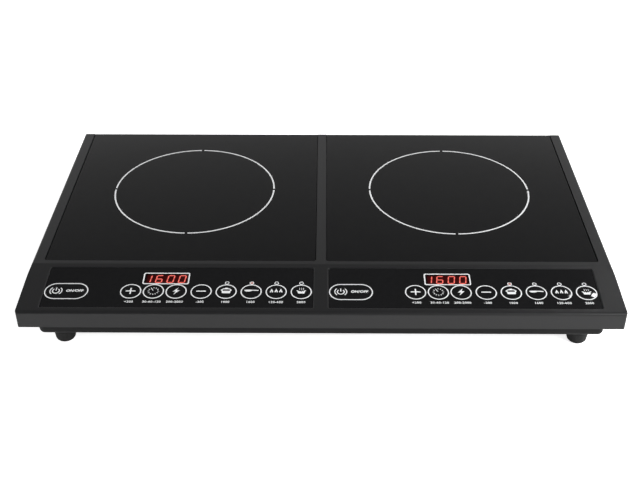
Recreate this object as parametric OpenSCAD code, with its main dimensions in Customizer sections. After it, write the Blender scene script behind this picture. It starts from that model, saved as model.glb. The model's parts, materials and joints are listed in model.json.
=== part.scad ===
// Double portable induction hob: two glass plates in one moulded top frame, a sloping
// control strip with eighteen push keys, a vented base tray on four rubber feet, and
// inside each half a flat coil, its power electronics and a cooling fan.
// Millimetres, +Z up, +Y to the back, origin on the table under the middle of the body.

/* [Housing] */
// Width over the two side rails
body_w = 600; // [592:1:640]
// Depth from the front face to the rear edge
body_d = 356; // [350:1:390]
// Plan radius of the vertical corners
corner_r = 2; // [1.5:0.25:4]
// Wall thickness of the moulded shells
wall = 2.5; // [2:0.1:3]
// Height of the top frame from its lower edge to the top of the rails
skirt_h = 25.5; // [24:0.5:32]
// Visible height of the base tray below the top frame
tray_h = 21.2; // [19:0.1:26]
// Radius along the top edges of the frame
edge_r = 2; // [1:0.25:2.5]
// Radius between the front face and the control slope
front_edge_r = 3.2; // [2:0.2:4]
// Width of the rail at each side of the glass
rail_w = 11.9; // [11:0.1:15]
// Width of the bar between the two glass plates
divider_w = 10.5; // [9:0.5:14]
// Thickness of the lip behind the glass plates
rear_lip = 1.6; // [1.2:0.1:2]
// How far the tray wall stands in from the frame at each side
tray_side_inset = 14.5; // [14:0.5:17]
// How far the tray wall stands in at the front
tray_front_inset = 14.5; // [14:0.5:17]
// How far the tray wall stands in at the rear
tray_rear_inset = 14; // [14:0.5:17]
// Plan radius of the tray's corners
tray_corner_r = 6; // [6:0.5:9]
// Radius of the tray's lower edge
tray_edge_r = 5; // [3.5:0.5:5.5]
// How far the tray's flange lies up inside the frame
flange_lift = 3; // [2.5:0.25:3.5]
// Gap round the flange, inside the frame's skirt
flange_gap = 0.4; // [0.3:0.05:0.8]

/* [Control slope] */
// Plan depth of the slope in front of the plates
slope_d = 73.1; // [72:0.1:76]
// How far the slope falls towards the front edge
slope_drop = 6.4; // [5.5:0.1:7.5]
// Flat ridge between the slope and the glass
ridge_d = 5.4; // [4.5:0.1:8]
// Thickness of the frame's top skin under the slope
slope_skin = 3.2; // [3:0.1:3.6]

/* [Glass plates] */
// Thickness of each glass plate
glass_t = 4; // [3.5:0.5:5]
// How far the glass lies below the top of the rails
glass_recess = 1; // [0.5:0.1:1.3]
// Gap between the glass edge and the frame
glass_gap = 0.5; // [0.3:0.05:0.8]
// Width of the ledge that carries the glass
glass_ledge = 8; // [6:0.5:10]
// Thickness of that ledge
ledge_t = 2.5; // [2:0.1:3]
// Plan radius of the glass corners
glass_corner_r = 3; // [2:0.5:5]
// Radius ground along the top edges of the glass
glass_edge_r = 0.8; // [0.5:0.1:1.2]
// Distance of the cooking zone's centre from the rear edge
zone_rear = 133.3; // [130:0.1:137]

/* [Control panels] */
// Distance of each panel recess from the side of the body
panel_side = 21.8; // [20:0.1:22.5]
// Depth of each panel recess, along the slope
panel_d = 59.9; // [59:0.1:62]
// Distance of the recess from the front edge, along the slope
panel_front = 7.5; // [6.5:0.1:8.5]
// Width of the bridge between the two recesses
panel_split = 14.8; // [12:0.1:18]
// How far the overlay's face lies below the slope
panel_recess = 0.7; // [0.5:0.05:0.9]
// Thickness of the overlay sheet
overlay_t = 1; // [0.7:0.05:1.1]
// Gap round the overlay in its recess
overlay_gap = 0.3; // [0.2:0.05:0.5]
// Corner radius of the panel recess
panel_corner_r = 1.5; // [1:0.25:3]
// Radius rolled along the upper edge of the recess
panel_rim_r = 0.9; // [0.4:0.1:1.2]

/* [Keys] */
// Diameter of a round key cap
key_d = 18.6; // [17.6:0.1:19]
// Length of the power key's oval cap
power_key_w = 41.4; // [36:0.1:44]
// Height of the power key's oval cap
power_key_d = 21; // [18:0.1:21.6]
// Running gap round every key cap
key_gap = 0.3; // [0.2:0.05:0.4]
// How far a cap's crown stands above the overlay
key_crown = 0.5; // [0.35:0.05:0.6]
// Height of the crown's dome
key_dome = 0.35; // [0.2:0.05:0.35]
// How far a key travels when it is pressed
key_travel = 0.4; // [0.3:0.05:0.45]
// Width of the lip that keeps a cap in its hole
key_lip = 0.9; // [0.7:0.1:1.1]
// Thickness of that lip
key_lip_t = 1; // [0.8:0.1:1.1]
// Gap between the lip and the frame at rest
key_stop_gap = 0.3; // [0.2:0.05:0.35]
// Distance of the row of keys from the front edge, along the slope
key_row = 31.5; // [30.5:0.1:32]
// Distance of the power key's middle from the left edge of the panel recess
power_key_side = 22.7; // [22.2:0.1:30]
// Distance of the last round key's middle from the right edge of the panel recess
last_key_side = 12.3; // [11.5:0.1:13]
// Pitch of the first three round keys
tight_pitch = 22.8; // [22.5:0.1:23]
// Pitch of the other round keys
wide_pitch = 25.1; // [24.8:0.1:25.2]
// Diameter of the stem under each key
stem_d = 3.3; // [2.8:0.1:3.6]

/* [Display and lamps] */
// How far the display's middle lies to the left of the third round key
display_shift = 12.1; // [10:0.1:13.5]
// Distance of the display's centre from the front edge, along the slope
display_row = 51; // [50.6:0.1:53]
// Width of the display window
window_w = 46; // [45.8:0.1:48]
// Height of the display window
window_d = 16.4; // [15:0.1:16.8]
// Width of the four-digit block
digits_w = 44.8; // [43:0.1:45]
// Height of the digit block's face
digits_d = 12.6; // [11.6:0.1:13.4]
// Gap round the window in the overlay
window_gap = 0.15; // [0.1:0.05:0.25]
// Corner radius of the window
window_r = 1; // [0.5:0.25:2]
// Diameter of an indicator lamp
lamp_d = 3; // [2.6:0.1:3.2]
// Distance of the row of lamps from the front edge, along the slope
lamp_row = 44.4; // [44.2:0.1:46]

/* [Control boards] */
// Distance from the slope's face down to the control board
board_drop = 9; // [8.8:0.1:9.6]
// Thickness of all circuit boards
board_t = 1.6; // [1.2:0.1:2]
// How far a control board stands in from the side edges of the panel recess
control_board_side = 2.4; // [1.5:0.1:3.4]
// Depth of a control board
control_board_d = 50; // [48:0.5:51]
// Distance of a control board's front edge from the front edge of the slope
control_board_front = 16; // [15.5:0.1:17]
// Width of a push switch
switch_w = 6.2; // [5.8:0.1:7]
// Height of a push switch
switch_h = 3.5; // [3.3:0.1:3.6]
// Depth of the bore that guides the key's stem in a switch
switch_bore = 2; // [1.6:0.1:2.4]
// Space left under a stem when its key is pressed right down
stem_gap = 0.4; // [0.2:0.05:0.6]

/* [Induction coils] */
// Outer diameter of the winding
coil_d = 176; // [166:1:180]
// Inner diameter of the winding
coil_inner_d = 54; // [50:1:60]
// Diameter of the stranded wire
wire_d = 3.4; // [3.2:0.1:3.8]
// Diameter of the insulating mica sheet
mica_d = 190; // [186:1:190]
// Thickness of the mica sheet
mica_t = 0.8; // [0.6:0.1:1]
// Gap between the winding and the mica sheet
coil_gap = 0.3; // [0.2:0.05:0.4]
// Diameter of the disc that carries the winding
former_d = 186; // [184:1:190]
// Thickness of that disc
former_t = 2; // [1.6:0.1:2.4]
// Distance of the disc's screw ears from its centre
ear_radius = 101; // [100:0.5:104]
// Diameter of the disc's hub
former_hub_d = 18; // [16:0.5:22]
// Distance of the two leads from the middle of the coil
lead_x = 8; // [6:0.5:12]
// Length of a ferrite bar
ferrite_l = 50; // [44:1:56]
// Width of a ferrite bar
ferrite_w = 14; // [10:0.5:15]
// Thickness of a ferrite bar
ferrite_t = 5; // [4:0.5:6]
// Number of ferrite bars under a coil
ferrite_n = 6; // [4:2:8]

/* [Power electronics] */
// Width of a power board
power_board_w = 222; // [218:1:226]
// Depth of a power board
power_board_d = 66; // [64:1:68]
// Gap between a power board and the posts of the coil behind it
power_board_gap = 1.8; // [0.5:0.1:3]
// Height of the posts under a power board
standoff_h = 5; // [4:0.5:6]
// Width of the heat sink
sink_w = 70; // [64:1:74]
// Length of the heat sink along its fins
sink_d = 50; // [46:1:52]
// Height of the heat sink
sink_h = 17; // [14:0.5:18]
// Pitch of its fins
fin_pitch = 7; // [5.5:0.25:8]
// Thickness of a fin
fin_t = 1.6; // [1.2:0.1:2]
// Distance of the heat sink from the front edge of its board
sink_front = 3; // [2:0.5:8]
// Distance of the large capacitor's middle to the left of the board's middle
capacitor_x = 60; // [56:0.5:62]
// Width of the large capacitor
capacitor_w = 24; // [20:0.5:26]
// Depth of the large capacitor
capacitor_d = 34; // [28:0.5:38]
// Height of the large capacitor
capacitor_h = 16; // [14:0.5:17]
// Width of the two small capacitors
small_capacitor_w = 26; // [22:0.5:28]
// Depth of the two small capacitors
small_capacitor_d = 14; // [10:0.5:18]
// Gap between capacitors
capacitor_gap = 7; // [3:0.5:8]
// Distance of the choke's middle to the right of the board's middle
choke_x = 68; // [62:0.5:74]
// Outer diameter of the choke
choke_d = 30; // [26:0.5:32]
// Height of the choke
choke_h = 12; // [10:0.5:13]
// Number of turns on the choke
choke_turns = 14; // [10:1:16]

/* [Cooling fans] */
// Side of the square fan
fan_w = 80; // [78:0.5:84]
// Height of the fan
fan_h = 20; // [19:0.5:22]
// Gap between the fan and the tray's rear wall
fan_wall_gap = 3.5; // [2.5:0.5:6]
// Diameter of the rotor's hub
hub_d = 34; // [30:0.5:36]
// Wall thickness of the fan's duct at its thinnest
duct_wall = 1.5; // [1.2:0.1:2]
// Distance of the fan's fixing holes from its edges
fan_hole_inset = 4.25; // [4:0.25:5]
// Gap between the blade tips and the fan's duct
tip_gap = 0.9; // [0.6:0.1:1.5]
// Number of blades
blade_n = 9; // [5:1:9]
// Chord of a blade
blade_chord = 19; // [16:0.5:19.5]
// Thickness of a blade
blade_t = 1.5; // [1.2:0.1:1.8]
// Pitch angle of the blades
blade_pitch = 38; // [30:1:40]
// Radius of the blades' camber
camber_r = 28; // [22:1:40]
// Diameter of the rotor's shaft
shaft_d = 3; // [2.5:0.1:4]
// Running gap round the shaft in its bearing
bearing_gap = 0.05; // [0.03:0.01:0.1]
// Space under the rotor
rotor_z = 1.6; // [1:0.1:2.5]
// Space between the rotor and the motor plate
rotor_gap = 0.8; // [0.5:0.1:1.5]
// Thickness of the motor plate
motor_plate_t = 2.4; // [2:0.1:3]

/* [Vents and cord inlet] */
// Width of the ring-shaped slots under each fan
grille_slot = 3.2; // [2.6:0.1:3.8]
// Pitch of those rings
grille_pitch = 6; // [5.6:0.1:6.4]
// Width of the spokes that carry the grille
grille_spoke = 4; // [3:0.25:5]
// Height of the outlet slots in the rear wall
vent_h = 12; // [9:0.5:13]
// Width of an outlet slot
vent_w = 4; // [3:0.25:4.5]
// Pitch of the outlet slots
vent_pitch = 9; // [8:0.25:10]
// Number of outlet slots behind each half
vent_n = 11; // [7:2:13]
// Diameter of the hole for the cord bushing
inlet_d = 14; // [12:0.5:15]
// Bore of the cord bushing
bushing_bore = 8; // [6:0.25:9]

/* [Feet and fasteners] */
// Distance of the end screws of the tray from the side of the body
end_screw_side = 50; // [46:1:70]
// Distance of the front side screws behind the front of the glass
front_screw_gap = 40; // [30:1:80]
// Distance of the rear side screws in front of the rear of the glass
rear_screw_gap = 60; // [40:1:80]
// Length of the screws that hold the tray to the frame
housing_screw_l = 13; // [11:0.5:14]
// Height of a rubber foot
foot_h = 14; // [12:0.5:16]
// Height of the moulded boss above a foot
boss_h = 3; // [2:0.5:4]
// Diameter of a foot at the top
foot_d = 22.5; // [20:0.5:24]
// Diameter of a foot near the table
foot_tip_d = 20.5; // [18.5:0.25:21]
// Radius of a foot's lower edge
foot_round = 4.5; // [3:0.25:5]
// Depth of the recess for the screw in a foot
foot_recess = 7; // [5:0.5:9]
// Distance of a foot's axis from the side of the body
foot_side = 36.5; // [35.5:0.5:44]
// Distance of a foot's axis from the front and the rear of the body
foot_end = 31; // [31:0.5:40]
// Shank diameter of every screw
screw_d = 3.6; // [3:0.1:3.9]
// Head diameter of every screw
head_d = 7.2; // [6.4:0.1:7.6]
// Head height of every screw
head_h = 2.2; // [1.8:0.1:2.4]
// Gap round a screw in its hole
screw_gap = 0.3; // [0.2:0.05:0.4]

/* [Hidden] */
$fn = 64;
eps = 0.01;
front_y = -body_d / 2;
rear_y = body_d / 2;

// Levels above the table
tray_z = foot_h + boss_h;
skirt_z = tray_z + tray_h;
top_z = skirt_z + skirt_h;
front_z = top_z - slope_drop;
flange_z = skirt_z + flange_lift;
flange_top_z = flange_z + wall;
floor_z = tray_z + wall;
glass_top_z = top_z - glass_recess;
glass_z = glass_top_z - glass_t;
roof_z = glass_z - ledge_t;
former_top_z = glass_z - mica_t - coil_gap - wire_d - coil_gap;
former_z = former_top_z - former_t;
power_board_z = floor_z + standoff_h;

// Plan places of the openings
slope_a = atan(slope_drop / slope_d);
break_y = front_y + slope_d;
pocket_front = break_y + ridge_d;
pocket_rear = rear_y - rear_lip;
pocket_w = (body_w - 2 * rail_w - divider_w) / 2;
pocket_d = pocket_rear - pocket_front;
pocket_x = (divider_w + pocket_w) / 2;
pocket_y = (pocket_front + pocket_rear) / 2;
panel_w = (body_w - panel_split) / 2 - panel_side;
panel_x = (panel_split + panel_w) / 2;
zone_y = rear_y - zone_rear;
fan_y = rear_y - tray_rear_inset - wall - fan_wall_gap - fan_w / 2;
// Plan radius inside the frame and round the tray's flange
inner_r = max(corner_r - wall, 1);
// Shares of a rolled edge's radius: where its centre lies, and how far its cutter reaches
roll_share = 0.98;
cutter_share = 0.9;

// Base tray
tray_w = body_w - 2 * tray_side_inset;
tray_d = body_d - tray_front_inset - tray_rear_inset;
tray_y = (tray_front_inset - tray_rear_inset) / 2;
flange_w = body_w - 2 * (wall + flange_gap);
flange_d = body_d - 2 * (wall + flange_gap);
foot_x = body_w / 2 - foot_side;
foot_y = body_d / 2 - foot_end;

// Heights and places on the power board
part_z = power_board_z + board_t;

// Fan: its duct, its fixing holes and the height of its rotor
duct_r = fan_w / 2 - duct_wall;
fan_hole = fan_w / 2 - fan_hole_inset;
fan_hole_d = 4.4;
rotor_h = fan_h - motor_plate_t - rotor_gap - rotor_z;
bearing_r = 4.5;

// Depths below the face of the slope
overlay_floor = panel_recess + overlay_t;
lip_top = slope_skin + key_stop_gap;
lip_bottom = lip_top + key_lip_t;
switch_top = board_drop - switch_h;
stem_reach = switch_bore - key_travel - stem_gap;
boss_r = 4;
ear_post_r = 4.5;
board_post_r = 3.6;
panel_post_r = 3;
hole_d = screw_d + 2 * screw_gap;

key_names = ["power", "plus", "timer", "wattage", "minus", "stew", "fry", "warm", "boil"];
side_names = ["left", "right"];
paired_names = [
    "glass_plate", "mica_sheet", "coil_winding", "coil_former", "ferrite_bars", "thermistor",
    "power_board", "heat_sink", "filter_capacitors", "filter_choke", "fan_frame", "fan_rotor",
    "control_overlay", "display_window", "digit_display", "control_board", "tact_switches",
    "indicator_lamps"
];

// Places from the panel's middle: the power key, three close keys, five wider ones
function key_x(i) =
    i == 0 ? power_key_side - panel_w / 2 :
    i < 3 ? key_x(3) - (3 - i) * tight_pitch :
    panel_w / 2 - last_key_side - (8 - i) * wide_pitch;
function lamp_x(i) = key_x(i + 5);
power_key_x = key_x(0);
display_x = key_x(3) - display_shift;
// Height of the underside of the frame's skin at a depth place y
function skin_z(y) = front_z + (y - front_y) * tan(slope_a) - slope_skin / cos(slope_a);
// Plan places of the screws that hold the tray to the frame
side_screw_x = body_w / 2 - tray_side_inset + (tray_side_inset - wall - flange_gap) / 2;
front_screw_y = front_y + (tray_front_inset + wall + flange_gap) / 2;
rear_screw_y = rear_y - (tray_rear_inset + wall + flange_gap) / 2;
end_screw_x = body_w / 2 - end_screw_side;
housing_screw_places = concat(
    [for (x = [-end_screw_x, 0, end_screw_x]) [x, front_screw_y]],
    [for (x = [-end_screw_x, 0, end_screw_x]) [x, rear_screw_y]],
    [for (x = [-side_screw_x, side_screw_x], y = [pocket_front + front_screw_gap, pocket_rear - rear_screw_gap]) [x, y]]
);
// Places inside one half, from the middle of its glass
ear_places = [for (a = [45 : 90 : 315]) ear_radius * [cos(a), sin(a)]];
board_hole_inset = 5;
power_board_y = zone_y + ear_places[2].y - ear_post_r - power_board_gap - power_board_d / 2;
sink_y = power_board_y - power_board_d / 2 + sink_front + sink_d / 2;
power_board_places = [for (x = [-1, 1], y = [-1, 1])
    [x * (power_board_w / 2 - board_hole_inset), power_board_y + y * (power_board_d / 2 - board_hole_inset)]];
// Places of the control board's screws, from the panel's middle and along the slope. The two
// in front stand in the gaps between keys, the two behind at the board's corners.
control_board_w = panel_w - 2 * control_board_side;
control_screw_inset = 3.8;
control_front_row = control_board_front + control_screw_inset;
control_rear_row = control_board_front + control_board_d - control_screw_inset;
control_screw_x = control_board_w / 2 - control_screw_inset;
control_screw_places = [
    [(power_key_x + power_key_w / 2 + key_x(1) - key_d / 2) / 2, control_front_row],
    [(key_x(7) + key_x(8)) / 2, control_front_row],
    [-control_screw_x, control_rear_row],
    [control_screw_x, control_rear_row]
];

// Flat shapes
module rounded_rect(w, d, r) {
    square([w - 2 * r, d], center = true);
    square([w, d - 2 * r], center = true);
    for (x = [-1, 1], y = [-1, 1]) translate([x * (w / 2 - r), y * (d / 2 - r)]) circle(r);
}

// Rectangle standing on the axis, with its two upper corners round
module arched_rect(w, h, r) {
    translate([-w / 2, 0]) square([w, h - r]);
    translate([-w / 2 + r, 0]) square([w - 2 * r, h]);
    for (x = [-1, 1]) translate([x * (w / 2 - r), h - r]) circle(r);
}

module stadium(w, d) {
    square([w - d, d], center = true);
    for (x = [-1, 1]) translate([x * (w - d) / 2, 0]) circle(d / 2);
}

// Carries a flat shape along X or Y, with its own up direction as Z
module along_x(l) { rotate([90, 0, 90]) translate([0, 0, -l / 2]) linear_extrude(l) children(); }
module along_y(l) { rotate([90, 0, 0]) translate([0, 0, -l / 2]) linear_extrude(l) children(); }

// Block with round vertical corners and a round top edge all the way round
module soft_block(w, d, h, plan_r, top_r) {
    intersection() {
        linear_extrude(h) rounded_rect(w, d, plan_r);
        along_y(d) arched_rect(w, h, top_r);
        along_x(w) arched_rect(d, h, top_r);
    }
}

// Block whose top edge is rolled over all the way round, corners included
module rolled_block(w, d, h, plan_r, top_r) {
    for (x = [-1, 1], y = [-1, 1]) translate([x * (w / 2 - plan_r), y * (d / 2 - plan_r), 0])
        rotate_extrude() intersection() {
            arched_rect(2 * plan_r, h, top_r);
            square([plan_r, h]);
        }
    along_y(d - 2 * plan_r) arched_rect(w, h, top_r);
    along_x(w - 2 * plan_r) arched_rect(d, h, top_r);
}

// Section across an opening w wide whose upper edge, at y = 0, is rolled outwards. The roll is
// a little less than a quarter circle, so that it meets wall and surface at a clear angle.
module flared_rect(w, roll) {
    reach = roll_share * roll;
    difference() {
        translate([-w / 2 - cutter_share * roll, -reach]) square([w + 2 * cutter_share * roll, 2 * roll]);
        for (x = [-1, 1]) translate([x * (w / 2 + reach), -reach]) circle(roll);
    }
}

// Cutter that rolls the upper edge of an opening all the way round, with the edge at z = 0
module rolled_opening(w, d, plan_r, roll) {
    for (x = [-1, 1], y = [-1, 1]) translate([x * (w / 2 - plan_r), y * (d / 2 - plan_r), 0])
        rotate_extrude() intersection() {
            flared_rect(2 * plan_r, roll);
            translate([0, -roll]) square([plan_r + roll, 3 * roll]);
        }
    along_y(d - 2 * plan_r) flared_rect(w, roll);
    along_x(w - 2 * plan_r) flared_rect(d, roll);
}

// Puts its children on the control slope: x from the body's middle, s up the slope
module on_slope(x, s) {
    translate([x, front_y, front_z]) rotate([slope_a, 0, 0]) translate([0, s, 0]) children();
}

// Pan-head screw with its head's seat at z = 0 and its shank downwards
module screw(l) {
    translate([0, 0, -l]) cylinder(h = l + eps, d = screw_d);
    difference() {
        soft_head();
        translate([0, 0, head_h / 2]) for (a = [0, 90]) rotate([0, 0, a])
            translate([-head_d * 0.3, -0.4, 0]) cube([head_d * 0.6, 0.8, head_h]);
    }
}

module soft_head() {
    rotate_extrude() intersection() {
        arched_rect(head_d, head_h, head_h * 0.6);
        square([head_d, head_h]);
    }
}

// The two glass pockets, or the two halves of the body
module both_sides(x) { for (s = [-1, 1]) translate([s * x, 0, 0]) children(); }

// ---- Housing ----

// Side view of the frame: front face, round edge, slope, flat ridge, round rear edge
module frame_profile() {
    r = front_edge_r;
    cy = front_y + r;
    cz = front_z + r * tan(slope_a) - r / cos(slope_a);
    polygon([
        [front_y, skirt_z], [front_y, cz], [cy, cz], [cy - r * sin(slope_a), cz + r * cos(slope_a)],
        [break_y, top_z], [rear_y - edge_r, top_z], [rear_y - edge_r, top_z - edge_r],
        [rear_y, top_z - edge_r], [rear_y, skirt_z]
    ]);
    translate([cy, cz]) circle(r);
    translate([rear_y - edge_r, top_z - edge_r]) circle(edge_r);
}

module frame_outside() {
    intersection() {
        translate([0, 0, skirt_z]) linear_extrude(skirt_h) rounded_rect(body_w, body_d, corner_r);
        along_x(body_w) frame_profile();
        translate([0, 0, skirt_z]) along_y(body_d) arched_rect(body_w, skirt_h, edge_r);
    }
}

// The hollow under the skin: parallel to the slope in front, under the ledge behind
module frame_hollow() {
    step_y = pocket_front - wall;
    inner_y = front_y + wall;
    intersection() {
        translate([0, 0, skirt_z - 1]) linear_extrude(skirt_h)
            rounded_rect(body_w - 2 * wall, body_d - 2 * wall, inner_r);
        along_x(body_w) polygon([
            [inner_y, skirt_z - 1], [inner_y, skin_z(inner_y)], [step_y, skin_z(step_y)],
            [step_y, roof_z], [rear_y - wall, roof_z], [rear_y - wall, skirt_z - 1]
        ]);
    }
    // channels that keep the rails and the divider to one wall thickness
    channel_l = rear_y - wall - pocket_front;
    channel_h = top_z - wall - roof_z + eps;
    for (x = [-1, 1]) translate([x * (body_w - rail_w) / 2, pocket_front + channel_l / 2, roof_z - eps])
        linear_extrude(channel_h) square([rail_w - 2 * wall, channel_l], center = true);
    translate([0, pocket_front + channel_l / 2, roof_z - eps])
        linear_extrude(channel_h) square([divider_w - 2 * wall, channel_l], center = true);
}

module glass_pockets() {
    both_sides(pocket_x) translate([0, pocket_y, 0]) {
        translate([0, 0, glass_z]) linear_extrude(skirt_h)
            rounded_rect(pocket_w, pocket_d, glass_corner_r + glass_gap);
        translate([0, 0, roof_z - 1]) linear_extrude(skirt_h)
            rounded_rect(pocket_w - 2 * glass_ledge, pocket_d - 2 * glass_ledge, glass_corner_r);
        // the glass runs out over the rear edge between the rails
        translate([-pocket_w / 2, 0, glass_top_z]) cube([pocket_w, body_d, skirt_h]);
    }
}

// Everything one control panel needs cut through the slope
module panel_cuts() {
    through = 2 * slope_skin;
    translate([0, panel_front + panel_d / 2, -overlay_floor]) linear_extrude(through)
        rounded_rect(panel_w, panel_d, panel_corner_r);
    translate([0, panel_front + panel_d / 2, 0])
        rolled_opening(panel_w, panel_d, panel_corner_r, panel_rim_r);
    translate([0, 0, -through]) {
        translate([power_key_x, key_row]) linear_extrude(through)
            stadium(power_key_w + 2 * key_gap, power_key_d + 2 * key_gap);
        for (i = [1 : 8]) translate([key_x(i), key_row]) cylinder(h = through, d = key_d + 2 * key_gap);
        for (i = [0 : 3]) translate([lamp_x(i), lamp_row]) cylinder(h = through, d = lamp_d + 2 * key_gap);
        translate([display_x, display_row]) linear_extrude(through)
            square([digits_w + 2 * key_gap, digits_d + 2 * key_gap], center = true);
    }
}

// Posts under the slope that carry a control board
module panel_posts() {
    for (p = control_screw_places) translate([p.x, p.y, -board_drop]) difference() {
        cylinder(h = board_drop - slope_skin + 0.5, r = panel_post_r);
        translate([0, 0, -1]) cylinder(h = board_drop - slope_skin, d = hole_d);
    }
}

// Bosses that take the screws of the base tray
module frame_bosses() {
    for (p = housing_screw_places) {
        boss_top = p.y < break_y ? skin_z(p.y - boss_r) + 0.6 : roof_z + 0.6;
        translate([p.x, p.y, flange_top_z]) difference() {
            cylinder(h = boss_top - flange_top_z, r = boss_r);
            translate([0, 0, -1]) cylinder(h = housing_screw_l - wall + 2, d = hole_d);
        }
    }
}

module top_frame() {
    color([0.18, 0.18, 0.19]) {
        difference() {
            frame_outside();
            frame_hollow();
            glass_pockets();
            for (s = [-1, 1]) on_slope(s * panel_x, 0) panel_cuts();
        }
        for (s = [-1, 1]) on_slope(s * panel_x, 0) panel_posts();
        frame_bosses();
    }
}

// Block with round vertical corners and a lower edge rolled under all the way round
module pan(w, d, h, plan_r, low_r) {
    translate([0, 0, h]) mirror([0, 0, 1]) rolled_block(w, d, h, plan_r, low_r);
}

// Ring-shaped air slots under a fan, carried by six spokes
module fan_grille() {
    rings = floor((fan_w / 2 - wall - grille_slot / 2) / grille_pitch);
    difference() {
        for (i = [1 : rings]) difference() {
            cylinder(h = 3 * wall, r = i * grille_pitch + grille_slot / 2);
            translate([0, 0, -1]) cylinder(h = 3 * wall + 2, r = i * grille_pitch - grille_slot / 2);
        }
        for (a = [0 : 60 : 120]) rotate([0, 0, a])
            translate([-fan_w / 2, -grille_spoke / 2, -1]) cube([fan_w, grille_spoke, 3 * wall + 2]);
    }
}

module vent_slots() {
    for (i = [0 : vent_n - 1]) translate([(i - (vent_n - 1) / 2) * vent_pitch, 0, 0])
        rotate([90, 0, 0]) translate([0, 0, -2 * wall]) linear_extrude(4 * wall)
            rotate([0, 0, 90]) stadium(vent_h, vent_w);
}

// Hollow post with a screw hole down from its top
module post(h, r, bore_depth) {
    difference() {
        translate([0, 0, -0.5]) cylinder(h = h + 0.5, r = r);
        translate([0, 0, h - bore_depth]) cylinder(h = bore_depth + 1, d = hole_d);
    }
}

module base_tray() {
    ear_post_h = former_z - floor_z;
    color([0.14, 0.14, 0.15]) {
        difference() {
            union() {
                translate([0, tray_y, tray_z])
                    pan(tray_w, tray_d, flange_top_z - tray_z, tray_corner_r, tray_edge_r);
                translate([0, 0, flange_z]) linear_extrude(wall)
                    rounded_rect(flange_w, flange_d, inner_r);
                for (x = [-1, 1], y = [-1, 1]) translate([x * foot_x, y * foot_y, tray_z - boss_h])
                    cylinder(h = boss_h + wall, d = foot_d);
            }
            translate([0, tray_y, floor_z])
                pan(tray_w - 2 * wall, tray_d - 2 * wall, skirt_h, tray_corner_r - wall, tray_edge_r - wall);
            both_sides(pocket_x) translate([0, fan_y, tray_z - wall]) fan_grille();
            both_sides(pocket_x) translate([0, rear_y - tray_rear_inset, (floor_z + skirt_z) / 2]) vent_slots();
            translate([0, rear_y - tray_rear_inset, (floor_z + skirt_z) / 2]) rotate([90, 0, 0])
                cylinder(h = 4 * wall, d = inlet_d, center = true);
            for (p = housing_screw_places) translate([p.x, p.y, flange_z - 1])
                cylinder(h = wall + 2, d = hole_d);
            for (x = [-1, 1], y = [-1, 1]) translate([x * foot_x, y * foot_y, 0])
                cylinder(h = floor_z + 1, d = hole_d);
        }
        both_sides(pocket_x) {
            for (p = ear_places) translate([p.x, zone_y + p.y, floor_z]) post(ear_post_h, ear_post_r, 11);
            for (p = power_board_places) translate([p.x, p.y, floor_z])
                post(standoff_h, board_post_r, standoff_h - 0.4);
            for (x = [-1, 1], y = [-1, 1]) translate([x * fan_hole, fan_y + y * fan_hole, floor_z - 0.5])
                cylinder(h = 5, d = fan_hole_d - 2 * screw_gap);
        }
    }
}

// One foot from its table face up: round lower edge, gentle taper, recess for its screw
module rubber_foot() {
    tip_r = foot_tip_d / 2;
    difference() {
        rotate_extrude() {
            square([tip_r - foot_round, foot_round + eps]);
            translate([0, foot_round]) polygon([
                [0, 0], [tip_r, 0], [foot_d / 2, foot_h - foot_round], [0, foot_h - foot_round]
            ]);
            translate([tip_r - foot_round, foot_round]) intersection() {
                circle(foot_round);
                translate([0, -foot_round]) square(foot_round);
            }
        }
        translate([0, 0, -1]) cylinder(h = foot_recess + 1, d = head_d + 1.6);
        translate([0, 0, -1]) cylinder(h = foot_h + 2, d = hole_d);
    }
}

module rubber_feet() {
    color([0.12, 0.12, 0.12]) for (x = [-1, 1], y = [-1, 1]) translate([x * foot_x, y * foot_y, 0]) rubber_foot();
}

module housing_screws() {
    color("silver") {
        for (p = housing_screw_places) translate([p.x, p.y, flange_z]) mirror([0, 0, 1]) screw(housing_screw_l);
        for (x = [-1, 1], y = [-1, 1]) translate([x * foot_x, y * foot_y, foot_recess]) mirror([0, 0, 1])
            screw(floor_z - foot_recess - 0.5);
    }
}

module inner_screws() {
    color("silver") {
        both_sides(pocket_x) {
            for (p = ear_places) translate([p.x, zone_y + p.y, former_top_z]) screw(former_t + 9);
            for (p = power_board_places) translate([p.x, p.y, power_board_z + board_t])
                screw(board_t + standoff_h - 1);
        }
        for (s = [-1, 1]) on_slope(s * panel_x, 0) for (p = control_screw_places)
            translate([p.x, p.y, -board_drop - board_t]) mirror([0, 0, 1]) screw(board_t + 4);
    }
}

// Grommet in the tray's rear wall: two flanges, a neck in the wall and a through bore
module cord_bushing() {
    neck_r = inlet_d / 2 - 0.3;
    color([0.1, 0.1, 0.1]) translate([0, rear_y - tray_rear_inset, (floor_z + skirt_z) / 2]) rotate([-90, 0, 0])
        rotate_extrude() difference() {
            union() {
                translate([0, -wall - 2.6]) square([neck_r + 1.4, 2.5]);
                translate([0, -wall - 1]) square([neck_r, wall + 2]);
                translate([0, 0.1]) square([neck_r + 1.6, 2.4]);
                translate([0, 2]) polygon([[0, 0], [neck_r, 0], [neck_r - 1.4, 6], [0, 6]]);
            }
            translate([-1, -wall - 4]) square([bushing_bore / 2 + 1, wall + 14]);
        }
}

// ---- Glass and coil ----

module glass_plate(s) {
    color([0.13, 0.13, 0.14]) translate([s * pocket_x, pocket_y, glass_z])
        rolled_block(pocket_w - 2 * glass_gap, pocket_d - 2 * glass_gap, glass_t, glass_corner_r, glass_edge_r);
}

module mica_sheet(s) {
    color([0.75, 0.7, 0.55]) translate([s * pocket_x, zone_y, glass_z - mica_t]) difference() {
        cylinder(h = mica_t, d = mica_d);
        translate([0, 0, -1]) cylinder(h = mica_t + 2, d = 15);
    }
}

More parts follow.
